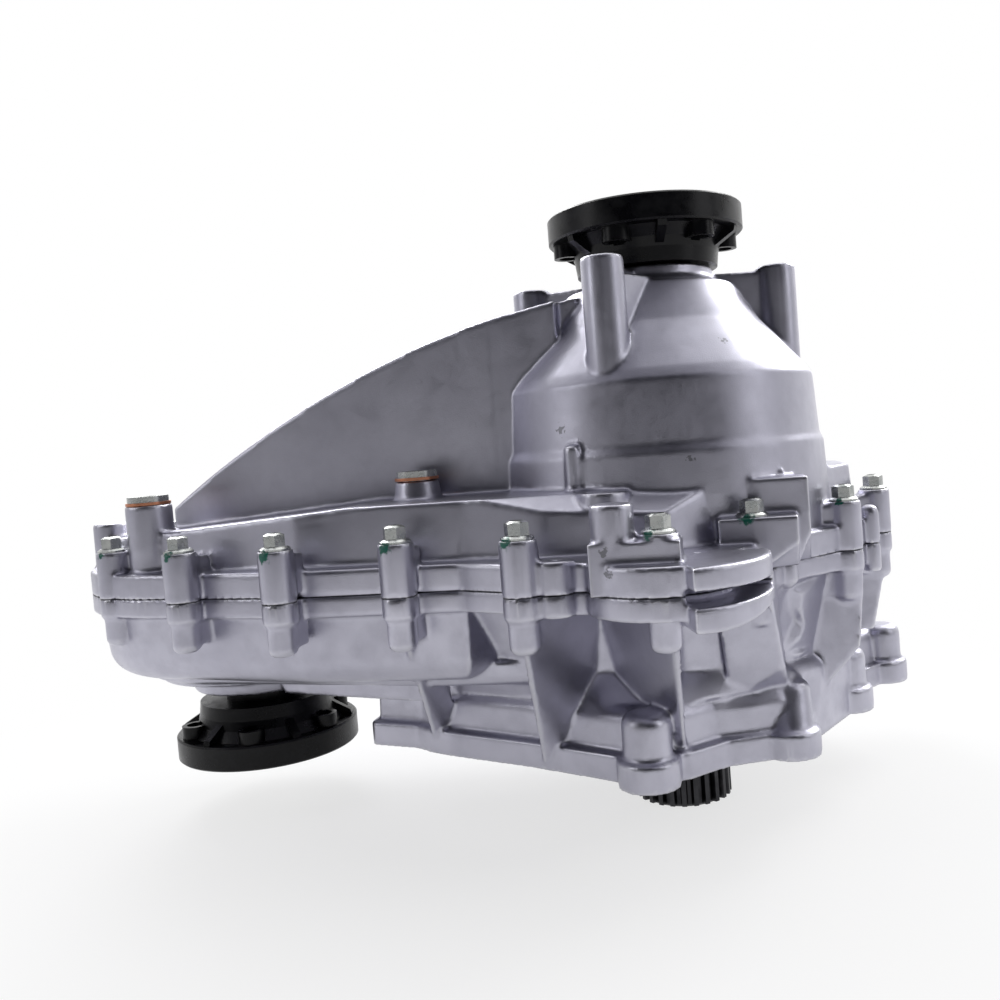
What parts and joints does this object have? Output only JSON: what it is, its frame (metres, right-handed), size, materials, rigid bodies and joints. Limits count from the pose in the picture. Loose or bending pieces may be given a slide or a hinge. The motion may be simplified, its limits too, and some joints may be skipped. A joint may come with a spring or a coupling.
{
  "type": "transfer case",
  "caption": "Full-time chain-drive transfer case: two-piece cast housing with a bell flange, external input spline, planetary centre differential and two companion flange outputs",
  "frame": {"origin": "on the main axis (input and rear output), in the plane of the gearbox mounting face", "axes": "+Z along the main axis toward the rear output flange, +X from the front output's axis to the main axis"},
  "size_m": [0.5154, 0.3279, 0.35],
  "materials": {
    "cast_aluminium": "die cast, shot blasted, satin",
    "zinc_steel": "zinc plated",
    "copper": "bare copper",
    "black_steel": "satin black coating",
    "machined_steel": "ground and oiled",
    "seal_rubber": "moulded",
    "magnet": "sintered ferrite"
  },
  "bodies": {
    "housing": {"cover_housing": "cast_aluminium", "case_housing": "cast_aluminium", "case_bolts": "zinc_steel", "dowel_pins": "machined_steel", "fill_plug": "zinc_steel", "level_plug": "zinc_steel", "plug_washers": "copper", "chip_magnet": "magnet", "input_seal": "seal_rubber", "rear_seal": "seal_rubber", "front_seal": "seal_rubber", "input_snap_ring": "machined_steel", "front_snap_ring": "machined_steel", "rear_snap_ring": "machined_steel", "input_bearing_outer": "machined_steel", "rear_bearing_outer": "machined_steel", "lower_bearing_outer": "machined_steel", "upper_bearing_outer": "machined_steel", "drive_chain": "machined_steel"},
    "input": {"input_shaft": "black_steel", "needle_sleeve": "machined_steel", "planet_carrier": "machined_steel", "planet_gears": "machined_steel", "planet_pins": "machined_steel", "input_bearing_inner": "machined_steel", "input_bearing_rollers": "machined_steel"},
    "sun": {"sun_sprocket": "machined_steel"},
    "rear_output": {"ring_gear": "machined_steel", "rear_output_shaft": "machined_steel", "rear_flange": "black_steel", "rear_flange_nut": "zinc_steel", "rear_bearing_inner": "machined_steel", "rear_bearing_rollers": "machined_steel"},
    "front_output": {"driven_sprocket": "machined_steel", "front_output_shaft": "machined_steel", "front_flange": "black_steel", "front_flange_nut": "zinc_steel", "lower_bearing_inner": "machined_steel", "lower_bearing_rollers": "machined_steel", "upper_bearing_inner": "machined_steel", "upper_bearing_rollers": "machined_steel"}
  },
  "joints": [
    {"name": "input_spin", "type": "hinge", "parent": "housing", "child": "input", "pos_m": [0, 0, 0.05], "axis": [0, 0, 1], "continuous": true, "deforming": ["drive_chain"]},
    {"name": "sun_spin", "type": "hinge", "parent": "housing", "child": "sun", "pos_m": [0, 0, 0.093], "axis": [0, 0, 1], "continuous": true},
    {"name": "rear_spin", "type": "hinge", "parent": "housing", "child": "rear_output", "pos_m": [0, 0, 0.23], "axis": [0, 0, 1], "continuous": true},
    {"name": "front_spin", "type": "hinge", "parent": "housing", "child": "front_output", "pos_m": [-0.27146, 0, 0.06], "axis": [0, 0, 1], "continuous": true}
  ],
  "couplings": [
    {"joint": "sun_spin", "follows": "input_spin", "ratio": 1},
    {"joint": "rear_spin", "follows": "input_spin", "ratio": 1},
    {"joint": "front_spin", "follows": "input_spin", "ratio": 1}
  ]
}
